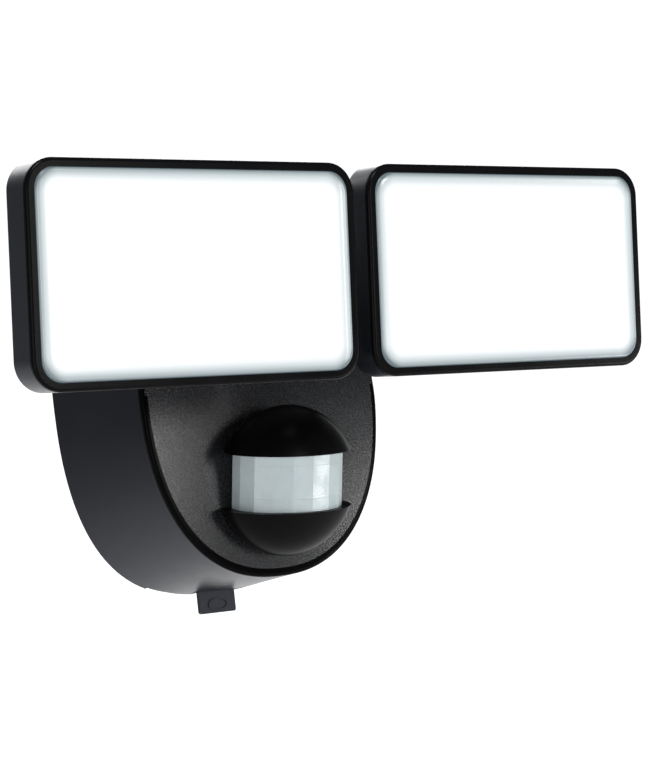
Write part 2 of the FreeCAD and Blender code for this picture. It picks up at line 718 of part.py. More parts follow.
def bezel():
    outer_w = D.lens_width + D.bezel_ring * 2
    outer_h = D.lens_height + D.bezel_ring * 2
    body = new_body()
    pad(body, SHELL_FRONT, D.bezel_depth,
        (draw_round_rect, outer_w, outer_h, D.lens_round + D.bezel_ring),
        (draw_round_rect, D.lens_width + 0.2, D.lens_height + 0.2, D.lens_round + 0.1))
    ring = pocket(body, SHELL_FRONT, 0.5,
                  (draw_round_rect, D.lens_width + D.flange * 2 + 0.4, D.lens_height + D.flange * 2 + 0.4,
                   D.lens_round + 1.7))
    doc.recompute()
    front = -(SHELL_FRONT + D.bezel_depth).number
    edges = []
    for number, edge in enumerate(body.Shape.Edges, start=1):
        points = [corner.Point for corner in edge.Vertexes]
        in_front = all(abs(point.y - front) < 0.01 for point in points)
        outer = any(abs(point.x) > D.lens_width.number / 2 + 2 for point in points)
        outer = outer or any(abs(point.z) > D.lens_height.number / 2 + 2 for point in points)
        if in_front and outer:
            edges.append(f"Edge{number}")
    rounding = body.newObject("PartDesign::Fillet", "rounding")
    rounding.Base = (ring, edges)
    bind(rounding, "Radius", D.bezel_edge)
    return body


def diffuser():
    flange_width = D.lens_width + D.flange * 2
    flange_height = D.lens_height + D.flange * 2
    body = new_body()
    pad(body, FLANGE_FRONT - 1.2, 1.2,
        (draw_round_rect, flange_width, flange_height, D.lens_round + D.flange))
    pad(body, FLANGE_FRONT, 2, (draw_round_rect, D.lens_width, D.lens_height, D.lens_round))
    return body


def lens_seal():
    flange_width = D.lens_width + D.flange * 2
    flange_height = D.lens_height + D.flange * 2
    body = new_body()
    pad(body, FLANGE_FRONT - 2.2, 1.0,
        (draw_round_rect, flange_width, flange_height, D.lens_round + D.flange),
        (draw_round_rect, D.lens_width - 3.8, D.lens_height - 3.4, 5))
    return body


def head_shell():
    """The tray-shaped rear shell: straight side walls, a sloping back and two hinge ears."""
    outer_w = D.lens_width + D.bezel_ring * 2
    outer_h = D.lens_height + D.bezel_ring * 2
    corner = D.lens_round + D.bezel_ring
    side_back = SHELL_FRONT - D.shell_side
    ledge = FLANGE_FRONT - 2.2
    body = new_body()
    pad(body, side_back, D.shell_side, (draw_round_rect, outer_w, outer_h, corner))
    wide = sketch_on(body, "XZ_Plane", side_back)
    draw_round_rect(wide, outer_w, outer_h, corner)
    narrow = sketch_on(body, "XZ_Plane", D.shell_back)
    draw_round_rect(narrow, D.shell_back_width, D.shell_back_height, corner)
    slope = body.newObject("PartDesign::AdditiveLoft", "slope")
    slope.Profile = wide
    slope.Sections = [narrow]
    slope.Ruled = True
    seat_width = D.lens_width + D.flange * 2 + 0.4
    seat_height = D.lens_height + D.flange * 2 + 0.4
    pocket(body, ledge, SHELL_FRONT - ledge,
           (draw_round_rect, seat_width, seat_height, D.lens_round + 1.7))
    pocket(body, side_back, ledge - side_back,
           (draw_round_rect, D.lens_width - 3.8, D.lens_height - 3.4, 5))
    pocket(body, D.shell_back + 2.4, side_back - D.shell_back - 2.4,
           (draw_round_rect, D.shell_back_width - 5, D.shell_back_height - 5, 5))
    pocket(body, D.shell_back - 1, 5, (draw_circle, 3.1, -24, 0))
    ears = []
    ear_in = D.knuckle_width / 2 + 0.3
    ear = 4
    for side in (-1, 1):
        start = ear_in if side > 0 else -ear_in - ear
        round_end = rod(D.knuckle_radius, ear, start, 0, 0, "right")
        stem = box(ear, D.shell_back + 0.5, D.knuckle_radius * 2, (ear_in + ear / 2) * side, 0, 0)
        ears.append(fuse(round_end, stem))
    hole = rod(D.bolt_radius + D.running_fit, 40, -20, 0, 0, "right")
    return cut(fuse(body, *ears), hole)


def led_position(column, row):
    pitch_x = 118 / D.led_columns.number
    pitch_z = 60 / D.led_rows.number
    x = (column - (D.led_columns.number - 1) / 2) * pitch_x
    z = (row - (D.led_rows.number - 1) / 2) * pitch_z
    return x, z


LED_GRID = [led_position(column, row)
            for column in range(int(D.led_columns.number)) for row in range(int(D.led_rows.number))]
BOARD_SCREWS = [(x, z) for x in (-51, 51) for z in (-10, 10)]
BOARD_FRONT = SHELL_FRONT - D.shell_side + 1.7


def reflector():
    body = new_body()
    depth = FLANGE_FRONT - 2.4 - BOARD_FRONT - 0.2
    pad(body, BOARD_FRONT + 0.2, depth, (draw_round_rect, 125.4, 68.4, 4.6))
    pocket(body, BOARD_FRONT + 1.2, depth - 1, (draw_round_rect, 122.4, 65.4, 3.4))
    holes = [(draw_circle, 3.2, x, z) for x, z in LED_GRID]
    holes += [(draw_circle, 2.2, x, z) for x, z in BOARD_SCREWS]
    pocket(body, BOARD_FRONT + 0.1, 1.3, *holes)
    return body


def led_board():
    body = new_body()
    holes = [(draw_circle, 1.3, x, z) for x, z in BOARD_SCREWS]
    pad(body, BOARD_FRONT - 1.6, 1.6, (draw_round_rect, 125, 68, 4.6), *holes)
    return body


def led_chips():
    return group(*[box(3.5, 0.8, 2.8, x, BOARD_FRONT, z) for x, z in LED_GRID])


def led_board_screws():
    screws = [fuse(rod(1.9, 0.9, x, BOARD_FRONT, z), rod(1.2, 2.4, x, BOARD_FRONT - 1.6, z))
              for x, z in BOARD_SCREWS]
    return group(*screws)


def cable_gland():
    outside = fuse(rod(4.6, 2.4, -24, D.shell_back - 2.4, 0), rod(3.0, 6, -24, D.shell_back - 2.4, 0))
    return cut(outside, rod(1.8, 12, -24, D.shell_back - 4, 0))


def knuckle():
    """A tilt barrel along X and a pan barrel along Z, joined by a web."""
    half = D.knuckle_width / 2
    back = -D.pan_offset
    tilt_barrel = rod(D.knuckle_radius, D.knuckle_width, -half, 0, 0, "right")
    pan_barrel = rod(D.knuckle_radius, D.knuckle_width - 0.2, 0, back, -half + 0.1, "up")
    web = box(10, D.pan_offset, 10, 0, back, 0)
    tilt_hole = rod(D.bolt_radius + D.running_fit, 40, -20, 0, 0, "right")
    pan_hole = rod(D.bolt_radius + D.running_fit, 40, 0, back, -20, "up")
    return cut(fuse(tilt_barrel, pan_barrel, web), tilt_hole, pan_hole)


def tilt_bolt():
    ear_end = D.knuckle_width / 2 + 4.3
    head = rod(4.6, 3, -ear_end - 3, 0, 0, "right")
    shank = rod(D.bolt_radius, ear_end * 2 + 5.5, -ear_end - 1, 0, 0, "right")
    socket = hexagon(3, 1.6, -ear_end - 3, 0, 0, "right")
    return cut(fuse(head, shank), socket)


def tilt_nut():
    ear_end = D.knuckle_width / 2 + 4.3
    nut = hexagon(8, 3.6, ear_end, 0, 0, "right")
    return cut(nut, rod(D.bolt_radius + 0.02, 10, ear_end - 3, 0, 0, "right"))


def arm(side):
    """A hollow elbow from the housing's side wall to a fork that holds the knuckle."""
    level = D.pivot_level
    across = D.head_across * side
    pan_forward = D.pivot_forward - D.pan_offset
    bend_x = D.head_across - D.arm_bend
    bend_forward = D.arm_forward + D.arm_bend
    root_x = bend_x if side < 0 else size(50)
    root = rod(D.arm_radius, bend_x - 50, root_x * (1 if side > 0 else -1), D.arm_forward, level, "right")
    elbow = doc.addObject("Part::Torus", "elbow")
    bind(elbow, "Radius1", D.arm_bend)
    bind(elbow, "Radius2", D.arm_radius)
    bind(elbow, "Angle3", 90)
    place(elbow, bend_x * side, bend_forward, level, Z_AXIS, 0 if side > 0 else 90)
    neck_end = pan_forward - 12
    neck = rod(D.arm_radius, neck_end - bend_forward, across, bend_forward, level)
    fork_height = D.fork_gap + D.fork_plate * 2
    fork = fuse(box(16, 12, fork_height, across, pan_forward - 13, level),
                rod(8, fork_height, across, pan_forward, level - fork_height / 2, "up"),
                box(16, 2, fork_height, across, pan_forward - 2, level))
    slot = box(20, 30, D.fork_gap, across, pan_forward - 8, level)
    solid = cut(fuse(root, elbow, neck, fork), slot, shield(0, D.housing_depth, 0))
    stub_start = size(40) if side > 0 else -bend_x
    stub = rod(D.stub_radius, bend_x - 40, stub_start, D.arm_forward, level, "right")
    bore_start = size(39) if side > 0 else -bend_x
    bore = rod(3.6, bend_x - 39, bore_start, D.arm_forward, level, "right")
    bore_elbow = doc.addObject("Part::Torus", "bore")
    bind(bore_elbow, "Radius1", D.arm_bend)
    bore_elbow.Radius2 = 3.6
    bore_elbow.Angle3 = 90
    place(bore_elbow, bend_x * side, bend_forward, level, Z_AXIS, 0 if side > 0 else 90)
    bore_neck = rod(3.6, pan_forward - bend_forward, across, bend_forward, level)
    bolt_hole = rod(D.bolt_radius + D.running_fit, 40, across, pan_forward, level - 20, "up")
    return cut(fuse(solid, stub), bore, bore_elbow, bore_neck, bolt_hole)


def arm_nut(side):
    thickness = 3.6
    start = NUT_SEAT - 0.1 - thickness if side > 0 else -NUT_SEAT + 0.1
    nut = hexagon(13.4, thickness, start, D.arm_forward, D.pivot_level, "right")
    return cut(nut, rod(D.stub_radius + 0.05, 12, size(start) - 4, D.arm_forward, D.pivot_level, "right"))


def pan_bolt(side):
    across = D.head_across * side
    forward = D.pivot_forward - D.pan_offset
    half = D.fork_gap / 2 + D.fork_plate
    head = rod(4.6, 3, across, forward, D.pivot_level - half - 3, "up")
    shank = rod(D.bolt_radius, half * 2 + 4, across, forward, D.pivot_level - half - 1, "up")
    return cut(fuse(head, shank), box(6, 1.2, 1.4, across, forward - 0.6, D.pivot_level - half - 2.6))


def light_head(name, side):
    keep(arm(side), f"{name}_arm")
    keep(arm_nut(side), f"{name}_arm_nut")
    keep(pan_bolt(side), f"{name}_pan_bolt")
    keep(place(knuckle(), D.head_across * side, D.pivot_forward, D.pivot_level), f"{name}_knuckle")
    pieces = (
        (head_shell, "head_shell"), (bezel, "bezel"), (diffuser, "diffuser"), (lens_seal, "lens_seal"),
        (reflector, "reflector"), (led_board, "led_board"), (led_chips, "led_chips"),
        (led_board_screws, "led_board_screws"), (cable_gland, "cable_gland"),
        (tilt_bolt, "tilt_bolt"), (tilt_nut, "tilt_nut"),
    )
    for build, label in pieces:
        keep(at_head(build(), side), f"{name}_{label}")


# ---------------------------------------------------------------- build, check and write

wall_plate()
release_latch()
rear_housing()
front_cover()
batteries()
battery_door()
electronics()
sensor_caps()
sensor_lens()
sensor_inside()
for side_name, side_sign in SIDES:
    light_head(side_name, side_sign)

doc.recompute()

faults = []
for item in doc.Objects:
    if "Invalid" in item.State or "Error" in item.State:
        faults.append(f"{item.Name} ({item.Label}): {item.State}")
for item in parts:
    if item.Shape.isNull() or not item.Shape.isValid() or not item.Shape.Solids:
        faults.append(f"{item.Label}: shape is empty or not valid")
if faults:
    raise RuntimeError("\n".join(faults))

os.makedirs("parts", exist_ok=True)
for item in parts:
    item.Shape.exportStep(f"parts/{item.Label}.step")
print(f"wrote {len(parts)} sub-parts")
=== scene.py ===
import json
import math

import bmesh
import bpy
from mathutils import Matrix, Vector


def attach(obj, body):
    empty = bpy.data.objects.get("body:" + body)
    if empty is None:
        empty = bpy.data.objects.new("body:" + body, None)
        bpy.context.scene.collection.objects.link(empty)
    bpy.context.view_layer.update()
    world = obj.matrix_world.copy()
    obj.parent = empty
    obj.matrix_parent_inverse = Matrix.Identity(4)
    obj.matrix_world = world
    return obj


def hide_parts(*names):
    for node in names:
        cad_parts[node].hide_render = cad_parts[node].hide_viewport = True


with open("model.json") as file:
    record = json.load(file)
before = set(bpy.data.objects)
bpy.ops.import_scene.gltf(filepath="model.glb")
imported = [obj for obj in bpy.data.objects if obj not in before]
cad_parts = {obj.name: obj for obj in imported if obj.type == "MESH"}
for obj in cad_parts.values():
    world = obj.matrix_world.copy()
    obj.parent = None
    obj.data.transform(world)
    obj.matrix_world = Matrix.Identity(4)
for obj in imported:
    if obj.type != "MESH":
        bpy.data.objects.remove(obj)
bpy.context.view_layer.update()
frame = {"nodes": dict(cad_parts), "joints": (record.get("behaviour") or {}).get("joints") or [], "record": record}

NODES = frame["nodes"]
JOINTS = {joint["name"]: joint for joint in frame["joints"]}
SIDES = ("left", "right")
MM = 0.001

# From here to the materials, sizes are in millimetres and angles in degrees.

# A head faces down by HEAD_TILT.  Its diffuser is measured forward from the tilt axis.
HEAD_TILT = 6.5
LENS_HALF_WIDTH = 64.9
LENS_HALF_HEIGHT = 36.2
LENS_ROUND = 7.6
LENS_FRONT = 35.8
LENS_EDGE_ROUND = 0.8
FLANGE_BACK = 32.8
FLANGE_FRONT = 34.0
FLANGE = 1.5

# The diffuser's light fades over GLOW_FADE from its outline, whose corners look EDGE_SOFTNESS round.
EDGE_SOFTNESS = 10.0
GLOW_FADE = 9.0

# The sensor dome's centre, and the lens band's levels and sizes round that centre.
DOME_FORWARD = 61.7
DOME_LEVEL = -52.1
DOME_TILT = 12.6
BAND_TOP = 11.6
BAND_BOTTOM = -10.0
BAND_HALF_WIDTH = 23.3
BAND_HALF_DEPTH = 17.2
BAND_SKIN = 0.9
FACET_ANGLE = 21.0
FACETS_EACH_SIDE = 6
ROW_EDGES = (-5.0, 7.6)
ROW_CENTRES = (-7.5, 1.3, 9.6)
RING_PITCH = 0.8

# The cover's face is this far behind the dome's centre, and looks down by FACE_TILT there.
FACE_BEHIND_DOME = 8.5
FACE_TILT = 2.5

# The cover's outline: two half superellipses that meet at COVER_LEVEL, where it is widest.
# The grain of its face ends where cover_reach comes to GRAIN_ENDS.
COVER_HALF_WIDTH = 55.4
COVER_UP = 53.4
COVER_DOWN = 73.2
COVER_LEVEL = -15.4
COVER_LOW_FULLNESS = 2.31
COVER_TOP_FULLNESS = 4.0
GRAIN_ENDS = 0.90


# ---------------------------------------------------------------- material helpers

def new_material(name, color, roughness, metallic=0.0, specular=0.5, coat=0.0):
    """A material, its node tree and its shader."""
    material = bpy.data.materials.new(name)
    material.use_nodes = True
    shader = material.node_tree.nodes["Principled BSDF"]
    shader.inputs["Base Color"].default_value = (*color, 1.0)
    shader.inputs["Roughness"].default_value = roughness
    shader.inputs["Metallic"].default_value = metallic
    shader.inputs["Specular IOR Level"].default_value = specular
    shader.inputs["Coat Weight"].default_value = coat
    shader.inputs["Coat Roughness"].default_value = 0.1
    return material, material.node_tree, shader


def noise(tree, scale, detail=3.0, roughness=0.55):
    """Noise fixed to the object, with `scale` cells to a metre."""
    place = tree.nodes.new("ShaderNodeTexCoord")
    texture = tree.nodes.new("ShaderNodeTexNoise")
    texture.inputs["Scale"].default_value = scale
    texture.inputs["Detail"].default_value = detail
    texture.inputs["Roughness"].default_value = roughness
    tree.links.new(place.outputs["Object"], texture.inputs["Vector"])
    return texture.outputs["Fac"]


def math_node(tree, operation, first, second=0.0):
    """The result of an operation on one or two numbers or node outputs."""
    node = tree.nodes.new("ShaderNodeMath")
    node.operation = operation
    for socket, value in zip(node.inputs, (first, second)):
        if isinstance(value, (int, float)):
            socket.default_value = value
        else:
            tree.links.new(value, socket)
    return node.outputs["Value"]


def spread(tree, value, target, low, high, start=0.3, end=0.7):
    """Lets a value that runs from `start` to `end` move a shader input from low to high."""
    node = tree.nodes.new("ShaderNodeMapRange")
    node.inputs["From Min"].default_value = start
    node.inputs["From Max"].default_value = end
    node.inputs["To Min"].default_value = low
    node.inputs["To Max"].default_value = high
    tree.links.new(value, node.inputs["Value"])
    tree.links.new(node.outputs["Result"], target)


def tint(tree, value, target, dark, light):
    """Lets a value mix two colours."""
    mix = tree.nodes.new("ShaderNodeMix")
    mix.data_type = "RGBA"
    mix.inputs["A"].default_value = (*dark, 1.0)
    mix.inputs["B"].default_value = (*light, 1.0)
    tree.links.new(value, mix.inputs["Factor"])
    tree.links.new(mix.outputs["Result"], target)


def bump(tree, height, shader, strength, distance):
    """Lets a value raise the surface by up to `distance` metres."""
    node = tree.nodes.new("ShaderNodeBump")
    node.inputs["Strength"].default_value = strength
    node.inputs["Distance"].default_value = distance
    tree.links.new(height, node.inputs["Height"])
    tree.links.new(node.outputs["Normal"], shader.inputs["Normal"])


def object_place(tree):
    """Where a shaded point is in its object: X, Y and Z outputs, in metres."""
    place = tree.nodes.new("ShaderNodeTexCoord")
    parts = tree.nodes.new("ShaderNodeSeparateXYZ")
    tree.links.new(place.outputs["Object"], parts.inputs["Vector"])
    return parts.outputs


# ---------------------------------------------------------------- materials

def satin_plastic(name, color, roughness):
    """Moulded plastic with a faint fine grain and slightly uneven gloss."""
    material, tree, shader = new_material(name, color, roughness)
    soft = noise(tree, 30.0)
    darker = [part * 0.85 for part in color]
    lighter = [part * 1.15 for part in color]
    spread(tree, soft, shader.inputs["Roughness"], roughness - 0.03, roughness + 0.05)
    tint(tree, soft, shader.inputs["Base Color"], darker, lighter)
    bump(tree, noise(tree, 2000.0), shader, 0.3, 0.03 * MM)
    return material


def housing_plastic():
    """The satin blue-black of the housing's sides and the backs of the heads."""
    material = satin_plastic("black_plastic", (0.006, 0.0065, 0.009), 0.34)
    shader = material.node_tree.nodes["Principled BSDF"]
    shader.inputs["Specular IOR Level"].default_value = 0.42
    shader.inputs["Specular Tint"].default_value = (0.80, 0.86, 1.0, 1.0)
    return material


def cover_reach(tree):
    """How far out on the cover's face a point is: 1 on its outline, and less inside it."""
    place = object_place(tree)
    width = math_node(tree, "ABSOLUTE", place["X"])
    across = math_node(tree, "MULTIPLY", width, 1 / (COVER_HALF_WIDTH * MM))
    rise = math_node(tree, "SUBTRACT", place["Z"], COVER_LEVEL * MM)
    above = math_node(tree, "GREATER_THAN", rise, 0.0)
    extra = math_node(tree, "MULTIPLY", above, COVER_TOP_FULLNESS - COVER_LOW_FULLNESS)
    fullness = math_node(tree, "ADD", extra, COVER_LOW_FULLNESS)
    high = math_node(tree, "MULTIPLY", rise, 1 / (COVER_UP * MM))
    low = math_node(tree, "MULTIPLY", rise, -1 / (COVER_DOWN * MM))
    climb = math_node(tree, "MAXIMUM", high, low)
    sideways = math_node(tree, "POWER", across, fullness)
    upwards = math_node(tree, "POWER", climb, fullness)
    return math_node(tree, "ADD", sideways, upwards)


def face_plastic():
    """The cover: a coarse eroded grain with bright specks on its face, and a smooth glossy rim."""
    material, tree, shader = new_material("textured_plastic", (0.02, 0.02, 0.02), 0.4, specular=0.45)
    inside = math_node(tree, "LESS_THAN", cover_reach(tree), GRAIN_ENDS)
    specks = math_node(tree, "GREATER_THAN", noise(tree, 1500.0, 2.0, 0.6), 0.52)
    faint_specks = math_node(tree, "MULTIPLY", specks, 0.3)
    grain = math_node(tree, "ADD", faint_specks, noise(tree, 1300.0, 3.0, 0.65))
    masked = math_node(tree, "MULTIPLY", grain, inside)
    spread(tree, inside, shader.inputs["Roughness"], 0.20, 0.25, 0.0, 1.0)
    spread(tree, inside, shader.inputs["Specular IOR Level"], 0.04, 0.45, 0.0, 1.0)
    tint(tree, masked, shader.inputs["Base Color"], (0.001, 0.001, 0.0012), (0.018, 0.019, 0.021))
    bump(tree, masked, shader, 0.8, 0.07 * MM)
    return material


def gloss_plastic(name, color, roughness):
    """Smooth dark plastic with a low, slightly uneven gloss."""
    material, tree, shader = new_material(name, color, roughness, specular=0.06)
    spread(tree, noise(tree, 60.0), shader.inputs["Roughness"], roughness - 0.03, roughness + 0.05)
    bump(tree, noise(tree, 1500.0), shader, 0.1, 0.01 * MM)
    return material


def plated_metal(name, color, roughness):
    """Bright metal with fine uneven streaks."""
    material, tree, shader = new_material(name, color, roughness, metallic=1.0)
    streaks = noise(tree, 900.0, 2.0)
    spread(tree, streaks, shader.inputs["Roughness"], roughness - 0.06, roughness + 0.10)
    bump(tree, streaks, shader, 0.15, 0.02 * MM)
    return material


def circuit_board():
    """Green solder mask with paler copper tracks under it."""
    material, tree, shader = new_material("circuit_board", (0.01, 0.09, 0.035), 0.35, coat=0.4)
    place = tree.nodes.new("ShaderNodeTexCoord")
    turn = tree.nodes.new("ShaderNodeMapping")
    turn.inputs["Rotation"].default_value = (math.radians(90), 0, 0)
    tracks = tree.nodes.new("ShaderNodeTexBrick")
    tracks.inputs["Scale"].default_value = 160.0
    tracks.inputs["Mortar Size"].default_value = 0.03
    tracks.inputs["Color1"].default_value = (0.008, 0.075, 0.03, 1)
    tracks.inputs["Color2"].default_value = (0.010, 0.095, 0.038, 1)
    tracks.inputs["Mortar"].default_value = (0.03, 0.20, 0.08, 1)
    tree.links.new(place.outputs["Object"], turn.inputs["Vector"])
    tree.links.new(turn.outputs["Vector"], tracks.inputs["Vector"])
    tree.links.new(tracks.outputs["Color"], shader.inputs["Base Color"])
    return material


def edge_distance(tree):
    """Metres from a point of a diffuser to the rounded outline of its face."""
    place = object_place(tree)
    squares = []
    for axis, half in (("X", LENS_HALF_WIDTH), ("Z", LENS_HALF_HEIGHT)):
        size = math_node(tree, "ABSOLUTE", place[axis])
        past = math_node(tree, "SUBTRACT", size, (half - EDGE_SOFTNESS) * MM)
        squares.append(math_node(tree, "POWER", math_node(tree, "MAXIMUM", past, 0.0), 2.0))
    radius = math_node(tree, "SQRT", math_node(tree, "ADD", *squares))
    return math_node(tree, "SUBTRACT", EDGE_SOFTNESS * MM, radius)


def diffuser_glow():
    """Opal plastic lit from behind: white in the middle, blue-grey along its edge."""
    material, tree, shader = new_material("diffuser_white", (0.06, 0.07, 0.075), 0.22)
    ramp = tree.nodes.new("ShaderNodeValToRGB")
    stops = ramp.color_ramp
    stops.elements[0].position = 0.0
    stops.elements[0].color = (0.06, 0.085, 0.095, 1)
    stops.elements[1].position = 1.0
    stops.elements[1].color = (1, 1, 1, 1)
    for position, color in ((0.10, (0.26, 0.30, 0.31)), (0.25, (0.48, 0.52, 0.53)),
                            (0.45, (0.70, 0.73, 0.74)), (0.70, (0.90, 0.91, 0.91))):
        stops.elements.new(position).color = (*color, 1)
    inward = math_node(tree, "MULTIPLY", edge_distance(tree), 1 / (GLOW_FADE * MM))
    tree.links.new(inward, ramp.inputs["Fac"])
    tree.links.new(ramp.outputs["Color"], shader.inputs["Emission Color"])
    shader.inputs["Emission Strength"].default_value = 1.15
    bump(tree, noise(tree, 900.0), shader, 0.08, 0.02 * MM)
    return material


def lens_film():
    """The sensor's milky moulded lens, with fine rings centred on each facet."""
    material, tree, shader = new_material("lens_film", (0.36, 0.42, 0.43), 0.20)
    shader.inputs["Subsurface Weight"].default_value = 0.35
    shader.inputs["Subsurface Radius"].default_value = (3 * MM, 3 * MM, 3 * MM)
    shader.inputs["Subsurface Scale"].default_value = 1.0
    place = tree.nodes.new("ShaderNodeUVMap")
    reach = tree.nodes.new("ShaderNodeVectorMath")
    reach.operation = "LENGTH"
    tree.links.new(place.outputs["UV"], reach.inputs[0])
    turns = math_node(tree, "MULTIPLY", reach.outputs["Value"], 2 * math.pi / RING_PITCH)
    rings = math_node(tree, "SINE", turns)
    bump(tree, rings, shader, 0.5, 0.03 * MM)
    cloud = noise(tree, 220.0, 2.0)
    tint(tree, cloud, shader.inputs["Base Color"], (0.47, 0.56, 0.575), (0.58, 0.65, 0.665))
    return material


SLOTS = {
    "black_plastic": housing_plastic(),
    "textured_plastic": face_plastic(),
    "gloss_black": gloss_plastic("gloss_black", (0.0025, 0.0025, 0.003), 0.26),
    "cap_plastic": gloss_plastic("cap_plastic", (0.002, 0.002, 0.0023), 0.30),
    # This grey is painted light: a tone lighter than the housing's black, standing in for the light caught by
    # faces that look forward and down.
    "grey_plastic": satin_plastic("grey_plastic", (0.050, 0.052, 0.058), 0.50),
    "diffuser_white": diffuser_glow(),
    "reflector_white": satin_plastic("reflector_white", (0.82, 0.82, 0.80), 0.25),
    "lens_film": lens_film(),
    "seal_rubber": satin_plastic("seal_rubber", (0.016, 0.016, 0.016), 0.75),
    "steel": plated_metal("steel", (0.62, 0.61, 0.58), 0.30),
    "plated_steel": plated_metal("plated_steel", (0.75, 0.72, 0.66), 0.20),
    "cell_wrap": gloss_plastic("cell_wrap", (0.04, 0.06, 0.10), 0.25),
    "circuit_board": circuit_board(),
    "component_plastic": satin_plastic("component_plastic", (0.02, 0.02, 0.025), 0.45),
    "led_yellow": satin_plastic("led_yellow", (0.85, 0.62, 0.12), 0.4),
    "led_red": gloss_plastic("led_red", (0.5, 0.02, 0.02), 0.15),
}


def paint_nodes():
    """Every CAD node gets the material of its slot in the record."""
    for row in frame["record"]["subparts"]:
        node = NODES[row["node"]]
        node.data.materials.clear()
        node.data.materials.append(SLOTS[row["material_slot"]])


# ---------------------------------------------------------------- pieces

def new_piece(name, mesh_maker, place, body, node, slot):
    """Makes a mesh object at a place, which stands for a CAD node and rides on a body."""
    mesh = bpy.data.meshes.new(name)
    shape = bmesh.new()
    mesh_maker(shape)
    bmesh.ops.recalc_face_normals(shape, faces=shape.faces)
    shape.to_mesh(mesh)
    shape.free()
    piece = bpy.data.objects.new(name, mesh)
    bpy.context.scene.collection.objects.link(piece)
    piece.matrix_world = place
    mesh.materials.append(SLOTS[slot])
    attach(piece, body)
    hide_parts(node)
    return piece


def rounded_outline(half_width, half_height, radius, steps=10):
    """Corner points of a rounded rectangle, anticlockwise, in millimetres."""
    points = []
    for quarter, (x_sign, z_sign) in enumerate(((1, 1), (-1, 1), (-1, -1), (1, -1))):
        for step in range(steps + 1):
            angle = math.radians(90 * (quarter + step / steps))
            points.append((x_sign * (half_width - radius) + radius * math.cos(angle),
                           z_sign * (half_height - radius) + radius * math.sin(angle)))
    return points


def diffuser_shape(shape):
    """A rounded plate with a hidden flange, a soft raised edge and a slightly sunken face."""
    # Each point is how far inside the outline it is, and how far forward.
    profile = [(-FLANGE, FLANGE_BACK), (-FLANGE, FLANGE_FRONT), (0.0, FLANGE_FRONT)]
    bend = LENS_EDGE_ROUND
    bend_steps = 5
    for step in range(bend_steps + 1):
        angle = math.radians(90 / bend_steps * step)
        profile.append((bend * (1 - math.cos(angle)), LENS_FRONT - bend + bend * math.sin(angle)))
    sunk = 0.3
    profile.append((1.5, LENS_FRONT))
    profile.append((2.1, LENS_FRONT - sunk))
    profile.append((4.0, LENS_FRONT - sunk))
    profile.append((20.0, LENS_FRONT - 0.2))
    smallest_radius = 2.0
    rings = []
    for inset, forward in profile:
        radius = max(LENS_ROUND - inset, smallest_radius)
        outline = rounded_outline(LENS_HALF_WIDTH - inset, LENS_HALF_HEIGHT - inset, radius)
        rings.append([shape.verts.new((x * MM, -forward * MM, z * MM)) for x, z in outline])
    for inner, outer in zip(rings, rings[1:]):
        for index in range(len(inner)):
            after = (index + 1) % len(inner)
            shape.faces.new((inner[index], inner[after], outer[after], outer[index]))
    shape.faces.new(rings[0])
    shape.faces.new(rings[-1])
    for face in shape.faces:
        face.smooth = True


def add_diffusers():
    """Each head's diffuser, placed by its tilt joint."""
    for side in SIDES:
        pivot = Matrix.Translation(JOINTS[f"{side}_tilt"]["pos_m"])
        place = pivot @ Matrix.Rotation(math.radians(HEAD_TILT), 4, "X")
        piece = new_piece(f"{side}_opal_diffuser", diffuser_shape, place, f"{side}_head",
                          f"{side}_diffuser", "diffuser_white")
        corners = piece.modifiers.new("corners", "EDGE_SPLIT")
        corners.split_angle = math.radians(40)


def face_forward(level):
    """How far forward of the dome's centre the cover's face is: below 0, as the face is behind it."""
    slope = math.tan(math.radians(DOME_TILT - FACE_TILT))
    return -FACE_BEHIND_DOME - slope * level


def band_corner(angle):
    """A corner between two facets of the lens band: its x, and how far forward it is."""
    turn = math.radians(angle)
    return BAND_HALF_WIDTH * math.sin(turn), BAND_HALF_DEPTH * math.cos(turn)


def band_column(angle, level):
    """A point of the lens band's outside, cut off where the band meets the cover."""
    x, forward = band_corner(angle)
    back = face_forward(level)
    if forward < back:
        x_before, forward_before = band_corner(angle - math.copysign(FACET_ANGLE, angle))
        share = (forward_before - back) / (forward_before - forward)
        x = x_before + (x - x_before) * share
        forward = back
    return x, forward


def band_shape(shape):
    """Flat lens facets in three rows, with a fine groove between rows."""
    groove = 0.12
    depth = 0.10
    levels = []
    for row_edge in ROW_EDGES:
        levels += [(row_edge - groove, 0.0), (row_edge, depth), (row_edge + groove, 0.0)]
    levels = [(BAND_BOTTOM, 0.0)] + levels + [(BAND_TOP, 0.0)]
    angles = [step * FACET_ANGLE for step in range(-FACETS_EACH_SIDE, FACETS_EACH_SIDE + 1)]
    uv = shape.loops.layers.uv.new("rings")
    rows = []
    for level, sunk in levels:
        row = []
        for angle in angles:
            x, forward = band_column(angle, level)
            reach = math.hypot(x, forward)
            share = 1 - sunk / reach
            row.append(shape.verts.new((x * share * MM, -forward * share * MM, level * MM)))
        rows.append(row)
    for low, high in zip(rows, rows[1:]):
        middle_level = (low[0].co.z + high[0].co.z) / 2 / MM
        centre = min(ROW_CENTRES, key=lambda level: abs(level - middle_level))
        for index in range(len(angles) - 1):
            corners = (low[index], low[index + 1], high[index + 1], high[index])
            face = shape.faces.new(corners)
            middle = (low[index].co + low[index + 1].co) / 2
            along = (low[index + 1].co - low[index].co).normalized()
            for loop in face.loops:
                across = (loop.vert.co - middle).dot(along) / MM
                loop[uv].uv = (across, loop.vert.co.z / MM - centre)


